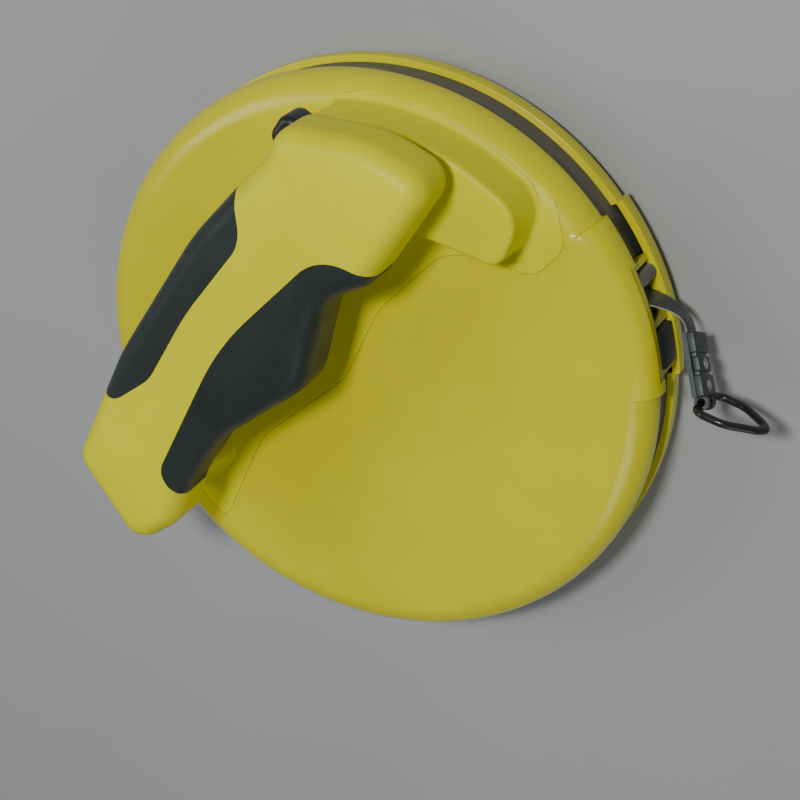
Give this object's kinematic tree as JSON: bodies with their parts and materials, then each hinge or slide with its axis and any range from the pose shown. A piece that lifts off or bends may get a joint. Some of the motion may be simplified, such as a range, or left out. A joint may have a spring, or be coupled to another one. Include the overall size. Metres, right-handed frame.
{
  "type": "long tape measure",
  "caption": "Round closed-case long tape measure with automatic spring return, pistol-grip handle across the face, thumb brake, fold-out crank and a clamp with ring on the tape's end.",
  "frame": {"origin": "on the reel axis at the flat back face of the case", "axes": "+Z along the reel axis, out of the face that carries the handle; +X towards the side where the tape leaves the case"},
  "size_m": [0.2531, 0.216, 0.089],
  "materials": {
    "yellow_case": "gloss moulded ABS",
    "yellow_handle": "satin moulded ABS",
    "dark_band": "dark grey moulded plastic",
    "black_rubber": "matte overmoulded rubber",
    "black_plastic": "fine-textured black plastic",
    "grey_nylon": "turned nylon",
    "white_nylon": "moulded acetal",
    "zinc": "bright zinc-plated steel",
    "spring_steel": "blued spring steel",
    "brass": "turned",
    "tape": "coated fibreglass tape, unprinted",
    "black_metal": "black coated steel"
  },
  "bodies": {
    "case": {"rear_shell": "yellow_case", "front_shell": "yellow_case", "rim_band": "dark_band", "case_screws": "zinc", "mouth_frame": "yellow_case", "mouth_bumper": "black_rubber", "roller_pin": "zinc", "rear_bush": "brass", "axle_pin": "zinc", "spring_cup": "zinc", "ring_gear": "white_nylon", "cup_screws": "zinc", "mainspring": "spring_steel", "handle_body": "yellow_handle", "handle_cover": "yellow_handle", "palm_grip": "black_rubber", "finger_grip": "black_rubber", "handle_screws": "zinc", "brake_lever_pin": "zinc", "brake_spring": "spring_steel"},
    "drum": {"drum": "black_plastic", "rear_flange": "black_plastic", "front_flange": "black_plastic", "tape_coil": "tape", "sun_gear": "white_nylon", "crank_hub": "black_plastic", "hub_screw": "zinc", "crank_hinge_pin": "zinc"},
    "crank_arm": {"crank_arm": "black_rubber", "knob_pin": "zinc"},
    "crank_knob": {"crank_knob": "black_rubber"},
    "carrier": {"planet_carrier": "black_plastic", "planet_pins": "zinc"},
    "planet_1": {"planet_gear_1": "white_nylon"},
    "planet_2": {"planet_gear_2": "white_nylon"},
    "planet_3": {"planet_gear_3": "white_nylon"},
    "guide_roller": {"guide_roller": "grey_nylon"},
    "tape_end": {"tape_lead": "tape", "end_clamp": "black_metal", "clamp_plate": "black_metal", "clamp_rivets": "zinc"},
    "end_ring": {"end_ring": "black_metal"},
    "thumb_button": {"thumb_button": "black_plastic"},
    "brake_lever": {"brake_lever": "white_nylon"},
    "brake_plunger": {"brake_plunger": "white_nylon", "brake_pad": "black_rubber"}
  },
  "joints": [
    {"name": "tape_pull", "type": "slide", "parent": "case", "child": "tape_end", "axis": [0.7158, -0.6983, 0], "range_m": [0, 0.032]},
    {"name": "drum_spin", "type": "hinge", "parent": "case", "child": "drum", "pos_m": [0, 0, 0.02], "axis": [0, 0, 1], "continuous": true},
    {"name": "carrier_spin", "type": "hinge", "parent": "case", "child": "carrier", "pos_m": [0, 0, 0.025], "axis": [0, 0, 1], "continuous": true},
    {"name": "planet_1_spin", "type": "hinge", "parent": "carrier", "child": "planet_1", "pos_m": [0.0225, 0, 0.018], "axis": [0, 0, 1], "continuous": true},
    {"name": "planet_2_spin", "type": "hinge", "parent": "carrier", "child": "planet_2", "pos_m": [-0.01125, 0.01949, 0.018], "axis": [0, 0, 1], "continuous": true},
    {"name": "planet_3_spin", "type": "hinge", "parent": "carrier", "child": "planet_3", "pos_m": [-0.01125, -0.01949, 0.018], "axis": [0, 0, 1], "continuous": true},
    {"name": "roller_spin", "type": "hinge", "parent": "case", "child": "guide_roller", "pos_m": [0.10007, 0.03608, 0.02], "axis": [0, 0, 1], "continuous": true},
    {"name": "crank_unfold", "type": "hinge", "parent": "drum", "child": "crank_arm", "pos_m": [-0.031, 0, 0.0028], "axis": [0, 1, 0], "range_deg": [0, 150]},
    {"name": "knob_spin", "type": "hinge", "parent": "crank_arm", "child": "crank_knob", "pos_m": [0.022, 0, 0.006], "axis": [0, 0, 1], "continuous": true},
    {"name": "ring_swing", "type": "hinge", "parent": "tape_end", "child": "end_ring", "pos_m": [0.12407, -0.00351, 0.02921], "axis": [-0.04, -0.4105, -0.911], "range_deg": [-80, 68]},
    {"name": "button_press", "type": "slide", "parent": "case", "child": "thumb_button", "axis": [0.7891, -0.6143, 0], "range_m": [0, 0.0035], "stiffness_N_per_m": 600, "springref_m": -0.003},
    {"name": "lever_rock", "type": "hinge", "parent": "case", "child": "brake_lever", "pos_m": [0.01166, 0.0866, 0.054], "axis": [0.6143, 0.7891, 0], "range_deg": [0, 17]},
    {"name": "plunger_drop", "type": "slide", "parent": "case", "child": "brake_plunger", "axis": [0, 0, -1], "range_m": [0, 0.0021], "deforming": ["brake_spring"]}
  ],
  "couplings": [
    {"joint": "drum_spin", "follows": "tape_pull", "rad_per_m": -10.87},
    {"joint": "carrier_spin", "follows": "tape_pull", "rad_per_m": -2.7174},
    {"joint": "planet_1_spin", "follows": "tape_pull", "rad_per_m": 8.1522},
    {"joint": "planet_2_spin", "follows": "tape_pull", "rad_per_m": 8.1522},
    {"joint": "planet_3_spin", "follows": "tape_pull", "rad_per_m": 8.1522},
    {"joint": "roller_spin", "follows": "tape_pull", "rad_per_m": 333.33},
    {"joint": "lever_rock", "follows": "button_press", "rad_per_m": 83.333},
    {"joint": "plunger_drop", "follows": "button_press", "ratio": 0.58333}
  ]
}
